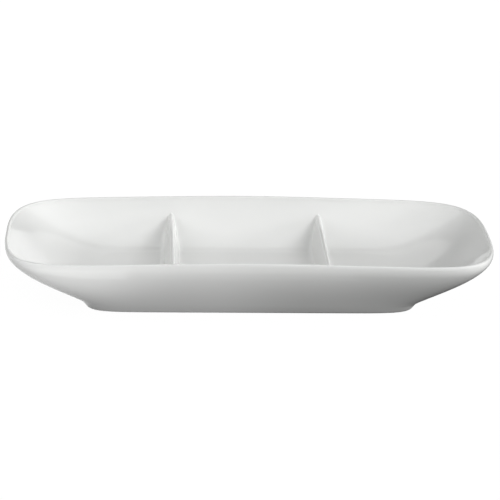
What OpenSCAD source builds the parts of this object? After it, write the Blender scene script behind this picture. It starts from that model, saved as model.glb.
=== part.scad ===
// A divided serving dish: a long white porcelain dish on a foot, whose inside is
// parted by two low walls into three compartments. A shell, a foot and two
// dividers are formed, joined with slip, glazed and fired as one.
// The origin lies on the table under the middle of the dish. X runs along its
// length, Y across it and Z up.

/* [Dish] */
// Length over the rim
dish_length = 300; // [270:1:340]
// Width over the rim
dish_width = 117; // [108:1:134]
// Height of the rim above the table, at the middle of the long sides
dish_height = 39.5; // [36:0.5:46]
// How far the rim falls from there to the middle of each end
end_drop = 3; // [0:0.2:5]
// Thickness of the wall at the rim
rim_thickness = 2.8; // [2.2:0.1:3.6]
// Thickness of the floor
floor_thickness = 3.8; // [3.2:0.1:5]

/* [Foot] */
// Length of the foot where it meets the table
foot_length = 200; // [188:1:212]
// Width of the foot where it meets the table
foot_width = 82; // [76:1:87]
// Height of the foot, from the table to the shell
foot_height = 5.8; // [5:0.1:7]
// How far the foot flares out over that height
foot_flare = 3.4; // [2.4:0.2:5]
// Width of the bare edge that stands on the table
foot_edge = 3.6; // [2.6:0.2:6]
// Radius of the rounding along the outside of that edge
foot_rounding = 1.4; // [0.6:0.1:2]

/* [Dividers] */
// Distance between the middles of the two dividers
divider_spacing = 95; // [84:1:104]
// How far the crest of a divider lies under the rim, at the middle of its length
crest_drop = 12; // [9:0.5:15]
// How far the crest sweeps up to meet the long walls
crest_rise = 4; // [1:0.5:6]
// Thickness of a divider at its crest
crest_thickness = 3; // [2.4:0.2:4.4]
// Slope of the sides of a divider, in degrees from upright
side_draft = 13; // [6:1:18]
// Radius of the cove between the sides of a divider and the floor
cove_radius = 3.5; // [1.5:0.5:5]

/* [Hidden] */

// Gap left for the slip that joins a divider to the shell
slip_gap = 0.06;
// How far a shape runs past a face that cuts it
overrun = 1;
// Height of a divider where its end dies into the wall
divider_tip = 0.8;
// Width from the edge of the flat floor out to the top edge of the foot
floor_margin = 12;
// Slope inwards of the hidden inside face of the foot, over its height
foot_inside_flare = 1.5;

// Exponents of the rounded outlines, along and across the dish
rim_powers = [10.2, 3];
foot_powers = [10, 9.6];
// Softness of the low peak of the rim at the middle of the dish
rim_soft_share = 0.2;
// Sharpness of the sweep of a crest at its ends
crest_power = 4;
// Middle control points of the outside curve: way out, and way up, from foot to rim
outer_out_shares = [0.41, 0.96];
outer_up_shares = [0.36, 0.68];
// Last but one control point of the inside curve: way out, and way up, to the rim
inner_out_share = 0.78;
inner_up_share = 0.55;
// How far along the foot's length the outlines have points at fixed places
line_shares = [0, 0.1, 0.2, 0.3, 0.36, 0.4, 0.44, 0.48, 0.52, 0.58];
// Heights of the points up the side of a divider, from the floor to the crest
side_height_shares = [0, 0.05, 0.12, 0.22, 0.36, 0.55, 0.74, 0.87, 0.95, 1];
// Places of the points across the underside of a divider
under_shares = [0.6, 0.2, -0.2, -0.6];

corner_steps = 14;
outer_steps = 12;
inner_steps = 14;
lip_steps = 6;
edge_steps = 3;
floor_steps = 8;
search_steps = 24;

lip_radius = rim_thickness / 2;
floor_height = foot_height + floor_thickness;
lip_half = [dish_length / 2 - lip_radius, dish_width / 2 - lip_radius];
lip_vector = [lip_radius, lip_radius];
foot_half = [foot_length / 2, foot_width / 2];
foot_top_half = foot_half + [foot_flare, foot_flare];
floor_half = foot_top_half - [floor_margin, floor_margin];
inner_rim_half = lip_half - lip_vector;
outer_rim_half = lip_half + lip_vector;
line_places = line_shares * foot_half.x;

// Point at share t of a cubic curve through four control points
function curve(c, t) = pow(1 - t, 3) * c[0] + 3 * pow(1 - t, 2) * t * c[1]
    + 3 * (1 - t) * pow(t, 2) * c[2] + pow(t, 3) * c[3];

// Fall of the rim at share s of the half length: a low peak, softened in the middle
function rim_fall(s) = end_drop * (sqrt(pow(s, 2) + pow(rim_soft_share, 2)) - rim_soft_share)
    / (sqrt(1 + pow(rim_soft_share, 2)) - rim_soft_share);

// Height where the wall ends and the round of the lip begins
function wall_top(s) = dish_height - lip_radius - rim_fall(s);

// Half width of an outline at the place x along it
function outline_y(half, powers, x) =
    half.y * pow(1 - pow(abs(x) / half.x, powers.x), 1 / powers.y);

// One quarter of an outline, from the middle of the long side to that of the end
function quarter(half, powers) =
    let (last = line_places[len(line_places) - 1])
    let (start = acos(pow(last / half.x, powers.x / 2)))
    concat(
        [for (x = line_places) [x, outline_y(half, powers, x)]],
        [for (i = [1 : corner_steps])
            let (t = start * (1 - i / corner_steps))
            [half.x * pow(cos(t), 2 / powers.x), half.y * pow(sin(t), 2 / powers.y)]]
    );

// Whole outline, made of a quarter and its three mirror images
function outline(half, powers) =
    let (q = quarter(half, powers))
    let (n = len(q) - 1)
    concat(
        [for (i = [0 : n]) q[i]],
        [for (i = [n - 1 : -1 : 0]) [q[i].x, -q[i].y]],
        [for (i = [1 : n]) [-q[i].x, -q[i].y]],
        [for (i = [n - 1 : -1 : 1]) [-q[i].x, q[i].y]]
    );

// Outline lifted to share s of the way from a base height to the wall's top
function wall_ring(half, powers, base, s, lift = 0) =
    [for (p = outline(half, powers))
        [p.x, p.y, base + s * (wall_top(abs(p.x) / half.x) - base) + lift]];

// Outline at one height
function flat_ring(half, powers, z) = [for (p = outline(half, powers)) [p.x, p.y, z]];

// Exponents at share t of the way from foot to rim
function powers_at(t) = foot_powers + (rim_powers - foot_powers) * (1 - pow(1 - t, 2));

// Half length, half width and share of the height along the outside of the wall
function outer_at(t) =
    let (reach = outer_rim_half - foot_top_half)
    curve([
        [foot_top_half.x, foot_top_half.y, 0],
        for (i = [0, 1])
            [foot_top_half.x + reach.x * outer_out_shares[i],
             foot_top_half.y + reach.y * outer_out_shares[i], outer_up_shares[i]],
        [outer_rim_half.x, outer_rim_half.y, 1]
    ], t);

// The same along the inside of the wall, which leaves the floor level
function inner_at(t) =
    let (reach = inner_rim_half - foot_top_half)
    curve([
        [floor_half.x, floor_half.y, 0],
        [foot_top_half.x, foot_top_half.y, 0],
        [foot_top_half.x + reach.x * inner_out_share,
         foot_top_half.y + reach.y * inner_out_share, inner_up_share],
        [inner_rim_half.x, inner_rim_half.y, 1]
    ], t);

// Point of the inside surface on the long wall, at share t of the wall and place x
function inner_point(t, x) =
    let (c = inner_at(t))
    let (top = wall_top(abs(x) / c.x))
    [x, outline_y([c.x, c.y], powers_at(t), x), floor_height + c.z * (top - floor_height)];

// Two triangles for each side of the band between ring i and ring k of n points
function band(i, k, n) =
    [for (j = [0 : n - 1])
        let (m = (j + 1) % n)
        each [[i * n + j, i * n + m, k * n + m], [i * n + j, k * n + m, k * n + j]]];

// One face that closes ring i of n points
function flat_cap(i, n) = [[for (j = [0 : n - 1]) i * n + j]];

// The same for an outline, as triangles in strips that cross it from side to side
function crossed_cap(i, n) =
    let (m = n / 4)
    [for (side = [0, 2 * m], j = [0 : m - 1])
        let (near = i * n + side + j)
        let (far = i * n + (side + 2 * m - j) % n)
        let (beside = i * n + side + 2 * m - j - 1)
        each j == m - 1 ? [[near, near + 1, far]]
            : [[near, near + 1, beside], [near, beside, far]]];

// Faces turned to look the other way
function turned(faces) = [for (f = faces) [for (i = [len(f) - 1 : -1 : 0]) f[i]]];

// Solid between a stack of rings, closed on the first and on the last
module stack(rings, crossed = false) {
    n = len(rings[0]);
    last = len(rings) - 1;
    polyhedron(
        points = [for (r = rings) each r],
        faces = concat(
            turned(crossed ? crossed_cap(0, n) : flat_cap(0, n)),
            [for (i = [0 : last - 1]) each band(i, i + 1, n)],
            crossed ? crossed_cap(last, n) : flat_cap(last, n)
        )
    );
}

// Solid whose rings run round in a loop, so that it has a hole through it
module hoop(rings) {
    n = len(rings[0]);
    count = len(rings);
    polyhedron(
        points = [for (r = rings) each r],
        faces = [for (i = [0 : count - 1]) each band(i, (i + 1) % count, n)]
    );
}

// The dish itself: its floor and its flared wall, in one skin from the flat
// underside, up the outside, over the lip and down the inside
module dish_shell() {
    outside = [for (i = [0 : outer_steps])
        let (t = i / outer_steps)
        let (c = outer_at(t))
        wall_ring([c.x, c.y], powers_at(t), foot_height, c.z)];
    lip = [for (i = [1 : lip_steps - 1])
        let (angle = 180 * i / lip_steps)
        wall_ring(lip_half + lip_vector * cos(angle), rim_powers, floor_height, 1,
            lip_radius * sin(angle))];
    inside = [for (i = [inner_steps : -1 : 0])
        let (t = i / inner_steps)
        let (c = inner_at(t))
        wall_ring([c.x, c.y], powers_at(t), floor_height, c.z)];
    color("whitesmoke") stack(concat(outside, lip, inside), crossed = true);
}

// The foot under the shell, cut level where its bare edge stands on the table
module foot_ring() {
    slope = foot_flare / foot_height;
    outside = [for (i = [0 : edge_steps])
        let (angle = 90 * i / edge_steps)
        let (z = foot_rounding * (1 - cos(angle)))
        let (inset = foot_rounding * (1 - sin(angle)) - z * slope)
        flat_ring(foot_half - [inset, inset], foot_powers, z)];
    edge_half = foot_half - [foot_rounding + foot_edge, foot_rounding + foot_edge];
    inside_half = edge_half - [foot_inside_flare, foot_inside_flare];
    sunk_half = foot_half - [foot_rounding, foot_rounding];
    color("gainsboro") difference() {
        hoop(concat(
            [flat_ring(edge_half, foot_powers, -overrun),
             flat_ring(sunk_half, foot_powers, -overrun)],
            outside,
            [flat_ring(foot_top_half, foot_powers, foot_height),
             flat_ring(inside_half, foot_powers, foot_height),
             flat_ring(edge_half, foot_powers, 0)]
        ));
        translate([-foot_length, -foot_width, -2 * overrun])
            cube([2 * foot_length, 2 * foot_width, 2 * overrun]);
    }
}

// Height of a divider's crest at the place y across the dish
function crest_at(y) = dish_height - crest_drop
    + crest_rise * pow(abs(y) / inner_rim_half.y, crest_power);

// Height of the crest over the wall's inside surface at share t of the wall
function crest_over(t, x) = let (p = inner_point(t, x)) crest_at(p.y) - p.z;

// Share of the wall where the crest is only the tip's height above it
function tip_share(x, low = 0, high = 1, steps = search_steps) =
    let (mid = (low + high) / 2)
    steps == 0 ? mid
    : crest_over(mid, x) > divider_tip ? tip_share(x, mid, high, steps - 1)
    : tip_share(x, low, mid, steps - 1);

// Half thickness of a divider of height h, at the height g above its base
function side_offset(h, g) =
    let (drop = h - g)
    let (round = min(crest_thickness / 2, h))
    let (cove = min(cove_radius, h / 2))
    sqrt(pow(round, 2) - pow(max(0, round - drop), 2))
    + drop * tan(side_draft)
    + cove - sqrt(pow(cove, 2) - pow(max(0, cove - g), 2));

// Point of a divider's underside at the place x, over the wall at share t; share k
// goes from 1 at one long wall through the middle of the floor to -1 at the other
function under_point(t, k, x) =
    let (p = inner_point(t, x))
    [x, k * (p.y - slip_gap), p.z + slip_gap];

// Section of a divider there: up the left side, down the right side and back along
// the underside
function section(t, k, x) =
    let (middle = under_point(t, k, x))
    let (crest = crest_at(middle.y))
    let (h = crest - middle.z)
    let (offsets = [for (s = side_height_shares) side_offset(h, h * s)])
    let (n = len(offsets) - 1)
    let (sides = concat([for (i = [0 : n]) [-1, i]], [for (i = [n - 1 : -1 : 0]) [1, i]]))
    concat(
        [for (side = sides)
            let (s = side_height_shares[side[1]])
            let (foot = under_point(t, k, x + side[0] * offsets[side[1]]))
            [foot.x, foot.y, foot.z * (1 - s) + crest * s]],
        [for (s = under_shares) under_point(t, k, x + offsets[0] * s)]
    );

// A divider at the place x along the dish, from one long wall to the other
module divider(x) {
    tip = tip_share(x);
    half_places = concat(
        [for (i = [inner_steps : -1 : 1]) [tip * i / inner_steps, 1]],
        [for (i = [floor_steps : -1 : 0]) [0, i / floor_steps]]
    );
    last = len(half_places) - 1;
    places = concat(
        half_places,
        [for (i = [last - 1 : -1 : 0]) [half_places[i][0], -half_places[i][1]]]
    );
    stack([for (p = places) section(p[0], p[1], x)]);
}

module left_divider() {
    color("white") divider(-divider_spacing / 2);
}

// The right divider is the left one's mirror image
module right_divider() {
    color("white") mirror([1, 0, 0]) divider(-divider_spacing / 2);
}

dish_shell();
foot_ring();
left_divider();
right_divider();
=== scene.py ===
import math

import bpy
import numpy as np
from mathutils import Matrix, Vector


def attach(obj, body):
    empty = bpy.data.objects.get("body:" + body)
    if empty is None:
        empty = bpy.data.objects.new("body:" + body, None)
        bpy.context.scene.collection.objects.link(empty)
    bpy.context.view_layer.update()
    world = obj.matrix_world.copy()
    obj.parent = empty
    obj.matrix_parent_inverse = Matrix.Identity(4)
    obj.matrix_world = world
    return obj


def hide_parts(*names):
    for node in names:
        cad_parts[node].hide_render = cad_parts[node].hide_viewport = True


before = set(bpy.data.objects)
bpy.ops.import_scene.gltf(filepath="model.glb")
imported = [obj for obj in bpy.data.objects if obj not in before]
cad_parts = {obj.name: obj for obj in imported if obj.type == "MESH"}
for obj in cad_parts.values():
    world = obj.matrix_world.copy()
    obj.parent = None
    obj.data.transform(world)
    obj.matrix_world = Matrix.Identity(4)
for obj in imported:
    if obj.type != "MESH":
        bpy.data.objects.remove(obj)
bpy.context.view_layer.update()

MM = 0.001

# Sizes of the dish, in millimetres
length, width, height = 300, 117, 39.5
end_drop, rim_soft_share = 3, 0.2
rim_thickness, floor_thickness = 2.8, 3.8
foot_length, foot_width, foot_height = 200, 82, 5.8
foot_flare, foot_edge, foot_rounding = 3.4, 3.6, 1.4
floor_margin, foot_inside_flare = 12, 1.5
rim_powers, foot_powers = np.array([10.2, 3.0]), np.array([10.0, 9.6])

# Dividers. The crest sweeps up less towards the walls than in the solids, by up to 3 mm.
divider_spacing = 95
crest_drop, crest_rise, crest_power, crest_thickness = 12, 1, 4, 3
side_draft = math.radians(13)
# Radii of the crest's round and of the cove at the floor, before their ends are eased
crest_radius, cove = 0.45 * crest_thickness, 4.2
# How softly a crest runs out on the wall, and how deep a divider is let into the shell
tip_softness, divider_sunk = 1.2, 0.5
least_divider = 1e-5

# The fillet where the wall leaves the foot: how far it starts below, and where it ends
seam_drop, seam_end = 1.6, 0.035
# How far the foot's top is let into the shell, and the coves and roundings of the foot
seam_step, foot_cove, inside_rounding = 1.2, 1.6, 0.6

# The lip: the outside is drawn in over its top part, up to a small round
lip_radius = rim_thickness / 2
lip_depth, lip_round, lip_round_start = 7, 0.95, math.radians(16)
lip_round_out = lip_round - lip_radius      # middle of the small round, from the wall's
lip_start_out = lip_round_out + lip_round * math.cos(lip_round_start)
lip_start_below = lip_round * (1 - math.sin(lip_round_start))
lip_taper = (lip_radius - lip_start_out) / (lip_depth - lip_start_below) ** 2
# As that makes the rim a little smaller, its outline is set out, along and across
lip_set_out = np.array([0.7, 0.47])

# Half lengths and half widths of the outlines
lip_half = np.array([length / 2, width / 2]) - lip_radius + lip_set_out
outer_rim_half, inner_rim_half = lip_half + lip_radius, lip_half - lip_radius
foot_half = np.array([foot_length, foot_width]) / 2
foot_top_half = foot_half + foot_flare
floor_half = foot_top_half - floor_margin
floor_height = foot_height + floor_thickness

# Bends of the wall, outside and inside: share of the way out from the foot's top to the
# rim, and share of the height
outer_bends, inner_bend = [(0.41, 0.36), (0.96, 0.68)], (0.78, 0.55)

# How finely the pieces are drawn
around, quarter_samples = 480, 3000
seam_steps, wall_steps, lip_steps, inside_steps = 6, 30, 14, 44
flare_steps, edge_steps, inside_edge_steps, foot_cove_steps = 5, 8, 6, 8
cove_steps, crest_steps, floor_steps, ease_samples = 12, 10, 8, 16
under_shares = [0.004, 0.25, 0.5, 0.75, 0.9, 1]
floor_shares = [0.9, 0.7, 0.5, 0.25, 0.004]
side_shares = [0.25, 0.5, 0.75]
sunk_shares = [0.99, 0.5, 0, -0.5, -0.99]
slope_tries = 30
sharp_edge = math.radians(35)


def curve(points, t):
    """Point at share t of a cubic curve through four control points."""
    a, b, c, d = (np.array(p, float) for p in points)
    return (1 - t) ** 3 * a + 3 * (1 - t) ** 2 * t * b + 3 * (1 - t) * t**2 * c + t**3 * d


def rim_fall(s):
    """Fall of the rim at share s of the half length: a low peak, soft in the middle."""
    k = rim_soft_share
    return end_drop * (np.sqrt(s**2 + k**2) - k) / (math.sqrt(1 + k**2) - k)


def wall_top(s):
    """Height where the wall ends and the round of the lip begins."""
    return height - lip_radius - rim_fall(s)


def foot_line(z):
    """Half length and half width of the foot's flared side at a height."""
    return foot_half + foot_flare * z / foot_height


wall_rise = wall_top(0) - foot_height
seam_half = foot_line(foot_height - seam_drop)
seam_share = -seam_drop / wall_rise
seat_half = seam_half - seam_step


def powers_at(t):
    """Powers of the outline at share t of the wall, from the foot's to the rim's."""
    return foot_powers + (rim_powers - foot_powers) * (1 - (1 - t) ** 2)


def outline_y(half, powers, x):
    """Half width of an outline at the place x along it."""
    return half[1] * (1 - np.minimum(np.abs(x) / half[0], 1) ** powers[0]) ** (1 / powers[1])


def outline(half, powers):
    """Rounded outline as evenly spaced points, from the middle of the back to the left."""
    t = np.linspace(0, math.pi / 2, quarter_samples)
    x = half[0] * np.sin(t) ** (2 / powers[0])
    y = half[1] * np.abs(np.cos(t)) ** (2 / powers[1])
    way = np.concatenate([[0], np.cumsum(np.hypot(np.diff(x), np.diff(y)))])
    even = np.linspace(0, way[-1], around // 4 + 1)
    x, y = np.interp(even, way, x), np.interp(even, way, y)
    x, y = np.concatenate([x, x[-2::-1]]), np.concatenate([y, -y[-2::-1]])
    return np.concatenate([np.stack([-x, y], axis=1), np.stack([x, y], axis=1)[-2:0:-1]])


def ring(half, powers, base, share, lift=0):
    """Outline lifted to a share of the way from a base height to the wall's top."""
    xy = outline(half, powers)
    s = np.abs(xy[:, 0]) / half[0] if share > 0 else np.zeros(len(xy))
    return np.column_stack([xy, base + share * (wall_top(s) - base) + lift])


def flat_ring(half, z):
    """Level outline of the foot's kind."""
    return ring(np.array(half, float), foot_powers, z, 0)


def towards_middle(ring_points, shares):
    """Copies of a flat ring drawn in to shares of its size."""
    return [ring_points * [s, s, 1] for s in shares]


def outer_at(t):
    """Half length, half width and share of the height along the outside of the wall."""
    reach = outer_rim_half - foot_top_half
    bends = [[*(foot_top_half + reach * out), rise] for out, rise in outer_bends]
    return curve([[*foot_top_half, 0], *bends, [*outer_rim_half, 1]], t)


def inner_at(t):
    """The same along the inside of the wall, which leaves the floor level."""
    out, rise = inner_bend
    bend = [*(foot_top_half + (inner_rim_half - foot_top_half) * out), rise]
    return curve([[*floor_half, 0], [*foot_top_half, 0], bend, [*inner_rim_half, 1]], t)


def inner_point(t, x):
    """Point of the inside surface on the back wall, at share t of the wall and place x."""
    a, b, share = inner_at(t)
    top = wall_top(abs(x) / a)
    return np.array([x, outline_y([a, b], powers_at(t), x),
                     floor_height + share * (top - floor_height)])


def deselect_all():
    for o in bpy.context.selected_objects:
        o.select_set(False)


def select_vertices(piece, wanted):
    """Selects the vertices that are wanted, and the edges and faces between them."""
    bpy.ops.object.mode_set(mode="EDIT")
    bpy.ops.mesh.select_mode(type="VERT")
    bpy.ops.mesh.select_all(action="DESELECT")
    bpy.ops.object.mode_set(mode="OBJECT")
    flags = np.zeros(len(piece.data.vertices), bool)
    flags[wanted] = True
    piece.data.vertices.foreach_set("select", flags)
    bpy.ops.object.mode_set(mode="EDIT")


def loft(name, rings, looped=False):
    """Closed skin over rings of equally many points: a circle is added, each further ring
    is extruded from the last, and then all are set on their points. The ends are drawn
    together to a point, or bridged to each other where the skin runs round in a loop."""
    deselect_all()
    count = len(rings[0])
    bpy.ops.mesh.primitive_circle_add(vertices=count, radius=1, fill_type="NOTHING")
    piece = bpy.context.object
    piece.name = piece.data.name = name
    bpy.ops.object.mode_set(mode="EDIT")
    bpy.ops.mesh.select_all(action="SELECT")
    for _ in rings[1:]:
        bpy.ops.mesh.extrude_edges_move()
    bpy.ops.object.mode_set(mode="OBJECT")
    points = np.concatenate(rings) * MM
    piece.data.vertices.foreach_set("co", points.astype(np.float32).ravel())
    first, last = np.arange(count), np.arange(len(points) - count, len(points))
    if looped:
        select_vertices(piece, np.concatenate([first, last]))
        bpy.ops.mesh.bridge_edge_loops()
    else:
        for end in (last, first):
            select_vertices(piece, end)
            bpy.ops.mesh.merge(type="CENTER")
    bpy.ops.mesh.select_all(action="SELECT")
    bpy.ops.mesh.normals_make_consistent(inside=False)
    bpy.ops.object.mode_set(mode="OBJECT")
    bpy.ops.object.shade_smooth_by_angle(angle=sharp_edge)
    return piece


def make_shell():
    """The dish: floor, flared wall and round lip in one skin."""
    rings = towards_middle(flat_ring(seat_half, foot_height), under_shares)
    rings.append(flat_ring(seat_half, foot_height - seam_drop))
    joint, fillet_end = np.array([*foot_top_half, 0]), outer_at(seam_end)
    for t in np.linspace(0, 1, seam_steps + 1)[:-1]:
        a, b, share = (1 - t) ** 2 * np.array([*seam_half, seam_share]) \
            + 2 * (1 - t) * t * joint + t**2 * fillet_end
        rings.append(ring(np.array([a, b]), foot_powers, foot_height, share))
    for t in np.linspace(seam_end, 1, wall_steps):
        a, b, share = outer_at(t)
        below = (1 - share) * wall_rise + lip_radius
        drawn_in = lip_taper * max(0, lip_depth - below) ** 2
        rings.append(ring(np.array([a, b]) - drawn_in, powers_at(t), foot_height, share))
    for turn in np.linspace(lip_round_start, math.pi, lip_steps):
        rings.append(ring(lip_half + lip_round_out + lip_round * math.cos(turn), rim_powers,
                          floor_height, 1, lip_radius - lip_round * (1 - math.sin(turn))))
    for t in np.linspace(1, 0, inside_steps + 1):
        a, b, share = inner_at(t)
        rings.append(ring(np.array([a, b]), powers_at(t), floor_height, share))
    rings += towards_middle(rings[-1], floor_shares)
    return loft("glazed_dish", rings)


def make_foot():
    """The flared foot, with its bare edge on the table and a cove under the floor."""
    rings = [ring(seam_half, foot_powers, foot_height, seam_share)]
    for z in np.linspace(foot_height - seam_drop, foot_rounding, flare_steps)[1:-1]:
        rings.append(flat_ring(foot_line(z), z))
    for turn in np.linspace(math.pi / 2, 0, edge_steps):
        z = foot_rounding * (1 - math.cos(turn))
        inset = foot_rounding * (1 - math.sin(turn)) - z * foot_flare / foot_height
        rings.append(flat_ring(foot_half - inset, z))
    edge = foot_half - foot_rounding - foot_edge
    rings.append(flat_ring(edge + foot_edge / 2, 0))
    for turn in np.linspace(0, math.pi / 2, inside_edge_steps):
        rings.append(flat_ring(edge + inside_rounding * (1 - math.sin(turn)),
                               inside_rounding * (1 - math.cos(turn))))
    for turn in np.linspace(0, math.pi / 2, foot_cove_steps):
        rings.append(flat_ring(edge - foot_inside_flare - foot_cove * (1 - math.cos(turn)),
                               foot_height - foot_cove * (1 - math.sin(turn))))
    rings.append(flat_ring(seat_half, foot_height))
    rings.append(flat_ring(seat_half, foot_height - seam_drop))
    return loft("foot", rings, looped=True)


def crest_at(y):
    """Height of a divider's crest at the place y across the dish."""
    return height - crest_drop + crest_rise * (abs(y) / inner_rim_half[1]) ** crest_power


def eased_arc(radius, slope, steps):
    """Points of a rising curve that starts level and eases into its steepest slope."""
    samples = ease_samples * steps
    share = np.linspace(0, 1, samples + 1)
    angle = slope * share**2 * (3 - 2 * share)
    angle = (angle[1:] + angle[:-1]) / 2
    way = radius * slope / samples * np.cumsum([np.cos(angle), np.sin(angle)], axis=1)
    return np.concatenate([[[0, 0]], way.T[ease_samples - 1::ease_samples]])


def side_of_divider(h):
    """Section of one side of a divider of height h, as distances out from its middle and
    heights: a cove, a straight side where there is room for one, and half the crest."""
    def arcs(slope):
        return eased_arc(cove, slope, cove_steps), eased_arc(crest_radius, slope, crest_steps)

    def too_high(slope):
        return sum(arc[-1, 1] for arc in arcs(slope)) > h

    gentlest, slope = 0, math.pi / 2 - side_draft
    if too_high(slope):
        for _ in range(slope_tries):
            between = (gentlest + slope) / 2
            if too_high(between):
                slope = between
            else:
                gentlest = between
    low, high = arcs(slope)
    straight = h - low[-1, 1] - high[-1, 1]
    run = straight / math.tan(slope)
    out = high[-1, 0] + run + low[-1, 0]
    low = [(out - x, z) for x, z in low]
    high = [(x, h - z) for x, z in high[::-1]]
    side = [(low[-1][0] - s * run, low[-1][1] + s * straight) for s in side_shares]
    return low + side + high


def divider_section(t, k, x):
    """Ring of points round a divider at share t of the wall; k goes from 1 at the back
    wall through the middle of the floor to -1 at the front."""
    def seat(place):
        return inner_point(t, place) * [1, k, 1]

    middle = seat(x)
    rise = crest_at(middle[1]) - middle[2]
    h = rise if rise > tip_softness else (rise + tip_softness) ** 2 / (4 * tip_softness)
    side = side_of_divider(max(h, least_divider))
    reach = side[0][0]
    lifted = [(-d, z) for d, z in side] + [(d, z) for d, z in side[-2::-1]]
    points = [seat(x + d) + [0, 0, z] for d, z in lifted]
    points += [seat(x + reach * s) - [0, 0, divider_sunk] for s in sunk_shares]
    return np.array(points)


def make_divider(name, x):
    """A low cross wall, drawn from the back wall over the floor to the front."""
    shares = np.linspace(1, 0, inside_steps + 1)
    rises = [crest_at(p[1]) - p[2] for p in (inner_point(t, x) for t in shares)]
    on_wall = [t for t, rise in zip(shares, rises) if rise > -tip_softness]
    back = [(t, 1) for t in on_wall]
    back += [(0, k) for k in np.linspace(1, 0, floor_steps + 1)[1:]]
    places = back + [(t, -k) for t, k in back[-2::-1]]
    return loft(name, [divider_section(t, k, x) for t, k in places])


shell = make_shell()
foot = make_foot()
left_divider = make_divider("left_low_wall", -divider_spacing / 2)
right_divider = make_divider("right_low_wall", divider_spacing / 2)

for piece, node in ((shell, "dish_shell"), (foot, "foot_ring"),
                    (left_divider, "left_divider"), (right_divider, "right_divider")):
    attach(piece, "root")
    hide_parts(node)


class Wire:
    """A shader socket that takes part in sums: an expression on wires adds Math nodes."""

    def __init__(self, finish, socket):
        self.finish, self.socket = finish, socket

    def math(self, operation, *values):
        return self.finish.node(
            "ShaderNodeMath", {"operation": operation}, {i: v for i, v in enumerate(values)})

    def __add__(self, other):
        return self.math("ADD", self, other)

    def __sub__(self, other):
        return self.math("SUBTRACT", self, other)

    def __rsub__(self, other):
        return self.math("SUBTRACT", other, self)

    def __mul__(self, other):
        return self.math("MULTIPLY", self, other)

    __radd__, __rmul__ = __add__, __mul__


class Finish:
    """The nodes of a new material or world, added one by one."""

    def __init__(self, owner):
        owner.use_nodes = True
        self.owner, self.tree = owner, owner.node_tree
        self.tree.nodes.clear()

    def node(self, kind, settings=None, values=None, output=0):
        made = self.tree.nodes.new(kind)
        for key, value in (settings or {}).items():
            setattr(made, key, value)
        for key, value in (values or {}).items():
            if isinstance(value, Wire):
                self.tree.links.new(value.socket, made.inputs[key])
            else:
                made.inputs[key].default_value = value
        return Wire(self, made.outputs[output]) if made.outputs else None

    def place(self, axis=None):
        """Place on the piece in metres, or one coordinate of it."""
        place = self.node("ShaderNodeTexCoord", output="Object")
        if axis is None:
            return place
        return self.node("ShaderNodeSeparateXYZ", None, {0: place}, output=axis)

    def noise(self, size, detail=2, roughness=0.5):
        """Noise from 0 to 1 whose blots are about as large as size, in millimetres."""
        spread = self.node("ShaderNodeMapping", None, {
            "Vector": self.place(), "Scale": [1 / (size * MM)] * 3})
        return self.node("ShaderNodeTexNoise", None, {
            "Vector": spread, "Scale": 1, "Detail": detail, "Roughness": roughness})

    def between(self, value, limits, results=(0.0, 1.0)):
        """Smooth step of a value between two limits, on to two others."""
        return self.node("ShaderNodeMapRange", {"interpolation_type": "SMOOTHSTEP"}, {
            "Value": value, "From Min": limits[0], "From Max": limits[1],
            "To Min": results[0], "To Max": results[1]})

    def blend(self, factor, first, second):
        """Mixed colour."""
        made = self.tree.nodes.new("ShaderNodeMix")
        made.data_type = "RGBA"
        for index, value in ((0, factor), (6, first), (7, second)):
            if isinstance(value, Wire):
                self.tree.links.new(value.socket, made.inputs[index])
            else:
                made.inputs[index].default_value = value if index == 0 else (*value, 1)
        return Wire(self, made.outputs[2])

    def bump(self, waves, deep, normal=None):
        """Normal of a surface that rises with waves, up to deep millimetres."""
        values = {"Height": waves, "Distance": deep * MM, "Strength": 1}
        if normal is not None:
            values["Normal"] = normal
        return self.node("ShaderNodeBump", None, values)

    def seen(self):
        """1 on rays from the camera and on mirrored and refracted ones, else 0."""
        path = self.tree.nodes.new("ShaderNodeLightPath")
        straight, mirrored, refracted = (Wire(self, path.outputs[name]) for name in (
            "Is Camera Ray", "Is Glossy Ray", "Is Transmission Ray"))
        either = straight.math("MAXIMUM", straight, mirrored)
        return either.math("MAXIMUM", either, refracted)

    def surface(self, shader, output="ShaderNodeOutputMaterial"):
        self.node(output, None, {"Surface": shader})
        return self.owner


white, black, nearly_black = (1, 1, 1), (0, 0, 0), (0.01, 0.01, 0.01)
porcelain_white, porcelain_cool = (0.785, 0.79, 0.78), (0.755, 0.763, 0.752)
bare_white, bare_dusty = (0.76, 0.745, 0.71), (0.66, 0.64, 0.60)
glaze_ior = 1.5
# Sizes of the blots, waves and grain and depths of the bumps, all in millimetres, with
# the part of the noise that each one uses
tone_size, tone_limits, tone_strength = 60, (0.3, 0.7), 0.5
gloss_size, gloss_limits, gloss_roughness = 14, (0.25, 0.75), (0.08, 0.12)
wave_size, wave_depth = 22, 0.05
ripple_size, ripple_depth = 3.5, 0.0035
# The bare edge of the foot: heights between which the glaze begins and how far that
# line wavers, then its dust and grain
glaze_begins = (0.5, 0.75)
waver_size, waver_limits, waver = 9, (0.3, 0.7), (-0.16, 0.16)
dust_size, dust_limits = 2.2, (0.42, 0.68)
grain_size, grain_depth, bare_roughness = 0.5, 0.05, 0.6


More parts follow.
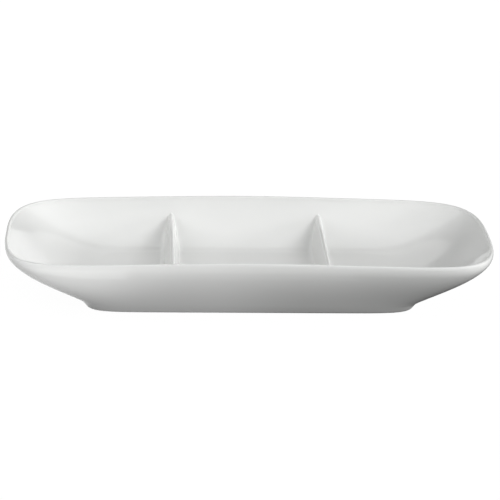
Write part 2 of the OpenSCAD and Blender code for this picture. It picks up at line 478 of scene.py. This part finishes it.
def glaze_finish(name, bare_foot=False):
    """Clear gloss glaze over white porcelain: tone that drifts a little, faint waves that
    a dipped glaze leaves, and on the foot a bare matt edge where it was wiped off."""
    f = Finish(bpy.data.materials.new(name))
    drift = f.between(f.noise(tone_size, detail=3), tone_limits)
    colour = f.blend(drift * tone_strength, porcelain_white, porcelain_cool)
    roughness = f.between(f.noise(gloss_size, detail=3), gloss_limits, gloss_roughness)
    normal = f.bump(f.noise(wave_size, detail=1), wave_depth)
    normal = f.bump(f.noise(ripple_size), ripple_depth, normal)
    if bare_foot:
        wavering = f.between(f.noise(waver_size, detail=3), waver_limits, waver)
        bare = 1 - f.between(f.place(axis=2) * (1 / MM) + wavering, glaze_begins)
        dust = f.between(f.noise(dust_size, detail=4, roughness=0.7), dust_limits)
        colour = f.blend(bare, colour, f.blend(dust, bare_white, bare_dusty))
        roughness = roughness + bare * bare_roughness
        grain = f.noise(grain_size, detail=3, roughness=0.6) * bare
        normal = f.bump(grain, grain_depth, normal)
    return f.surface(f.node("ShaderNodeBsdfPrincipled", None, {
        "Base Color": colour, "Roughness": roughness, "Normal": normal, "IOR": glaze_ior}))


glaze = glaze_finish("clear glaze over white porcelain")
for piece in (shell, left_divider, right_divider):
    piece.data.materials.append(glaze)
foot.data.materials.append(glaze_finish("glazed foot with a bare edge", bare_foot=True))

# Camera: lens and distances in millimetres, from a fit to the photo's outlines
camera_lens, camera_distance, camera_target = 144, 1243.8, Vector((0.886, 0, 25.06))
camera_elevation, camera_turn, camera_roll = (math.radians(a) for a in (22, -3.493, -1.699))


def direction(turn, rise):
    """Direction turned from the front towards the right, and raised."""
    return Vector((math.sin(turn) * math.cos(rise), -math.cos(turn) * math.cos(rise),
                   math.sin(rise)))


def add_camera():
    data = bpy.data.cameras.new("camera")
    data.lens = camera_lens
    camera = bpy.data.objects.new("camera", data)
    bpy.context.scene.collection.objects.link(camera)
    back = direction(camera_turn, camera_elevation)
    right = Vector((math.cos(camera_turn), math.sin(camera_turn), 0))
    up = back.cross(right)
    level = right * math.cos(camera_roll) - up * math.sin(camera_roll)
    upright = right * math.sin(camera_roll) + up * math.cos(camera_roll)
    camera.matrix_world = Matrix([
        [level[i], upright[i], back[i], (camera_target[i] + camera_distance * back[i]) * MM]
        for i in range(3)] + [[0, 0, 0, 1]])
    bpy.context.scene.camera = camera


add_camera()
bpy.context.scene.view_settings.view_transform = "Standard"

# Studio, in metres. The floor is dark as a thrower of light and white where it is looked at.
# Where it is mirrored, the white fades to black between two places along the dish, a painted
# reflection that leaves the glaze dark on the right.
floor_size, floor_grey, floor_white = 8, (0.03, 0.03, 0.03), 0.98
floor_fade = (-0.03, 0.04)
# The world is white where it is looked at or mirrored, and dim as a light
world_fill = 0.2
# Black cards behind the dish, which only the glaze mirrors: left and right edge and lower
# edge. The gaps under the two narrow ones are the bright patches at the dish's ends.
card_distance, card_top = 0.55, 1.6
black_cards = [
    ("flag_left", -1.6, -0.005, 0.0),
    ("flag_low", -0.005, 0.025, 0.14),
    ("flag_middle", 0.025, 0.085, 0.21),
    ("flag_right", 0.085, 1.6, 0.0),
]
# Softboxes: turn from the front towards the right and height angle in degrees, distance
# from the dish, width, height, and brightness, where 1 would be white
softbox_aim = Vector((0, 0, 0.03))
softboxes = [
    ("right_box", 90, 11, 0.9, 0.4, 0.2, 17.5),
    ("right_high_box", 60, 46, 0.9, 0.4, 0.25, 1.9),
    ("front_box", 30, 25, 0.9, 0.45, 0.2, 13.1),
    ("left_front_box", 316.5, 15.2, 0.572, 0.2, 0.12, 6.4),
    ("left_box", 285, 38, 0.5, 0.25, 0.16, 3.6),
    ("left_top_box", 270, 56, 0.4465, 0.25, 0.2, 1.2),
    ("top_back_box", 180, 60, 0.6, 0.6, 0.15, 1.0),
    ("low_back_box", 180, 8, 0.7, 1.0, 0.2, 7.0),
]
# Bright cards that lie on the floor and face up: place, width, depth and brightness
floor_card_lift = 0.001
floor_cards = [
    ("left_floor_card", -0.14, -0.13, 0.13, 0.12, 1.2),
    ("middle_floor_card", 0.0, -0.13, 0.13, 0.12, 0.35),
]


def add_plane(name, size, material):
    deselect_all()
    bpy.ops.mesh.primitive_plane_add(size=size)
    plane = bpy.context.object
    plane.name = name
    plane.data.materials.append(material)
    return plane


def floor_finish():
    f = Finish(bpy.data.materials.new("pale floor"))
    mirrored = f.node("ShaderNodeLightPath", output="Is Glossy Ray")
    # Painted reflection: what the glaze mirrors of the floor glows white on the left and
    # black on the right
    fade = f.between(f.place(axis=0), floor_fade) * mirrored
    glow = f.node("ShaderNodeEmission", None, {
        "Color": f.blend(fade, white, black), "Strength": f.seen() * floor_white})
    matt = f.node("ShaderNodeBsdfDiffuse", None, {"Color": (*floor_grey, 1)})
    return f.surface(f.node("ShaderNodeAddShader", None, {0: matt, 1: glow}))


def studio_world():
    f = Finish(bpy.data.worlds.new("studio"))
    seen = f.seen()
    return f.surface(f.node("ShaderNodeBackground", None, {
        "Color": (*white, 1), "Strength": seen + (1 - seen) * world_fill}),
        "ShaderNodeOutputWorld")


def add_black_card(name, left, right, low):
    f = Finish(bpy.data.materials.new(name))
    card = add_plane(name, 1, f.surface(
        f.node("ShaderNodeBsdfDiffuse", None, {"Color": (*nearly_black, 1)})))
    card.data.transform(Matrix([
        [right - left, 0, 0, (left + right) / 2],
        [0, 0, -1, card_distance],
        [0, card_top - low, 0, (low + card_top) / 2],
        [0, 0, 0, 1]]))
    card.visible_camera = card.visible_diffuse = card.visible_shadow = False


def add_lamp(name, wide, tall, brightness, place, towards, mirrored):
    """Area lamp that the camera doesn't see."""
    data = bpy.data.lights.new(name, "AREA")
    data.shape, data.size, data.size_y = "RECTANGLE", wide, tall
    data.energy = brightness * math.pi * wide * tall
    lamp = bpy.data.objects.new(name, data)
    lamp.location = place
    lamp.rotation_euler = (Vector(place) - Vector(towards)).to_track_quat("Z", "Y").to_euler()
    lamp.visible_camera = False
    lamp.visible_glossy = mirrored
    bpy.context.scene.collection.objects.link(lamp)


def add_studio():
    add_plane("floor", floor_size, floor_finish())
    bpy.context.scene.world = studio_world()
    for card in black_cards:
        add_black_card(*card)
    for name, turn, rise, distance, wide, tall, brightness in softboxes:
        way = direction(math.radians(turn), math.radians(rise))
        add_lamp(name, wide, tall, brightness, softbox_aim + way * distance, softbox_aim,
                 mirrored=False)
    for name, x, y, wide, deep, brightness in floor_cards:
        add_lamp(name, wide, deep, brightness, (x, y, floor_card_lift), (x, y, 1),
                 mirrored=True)


add_studio()
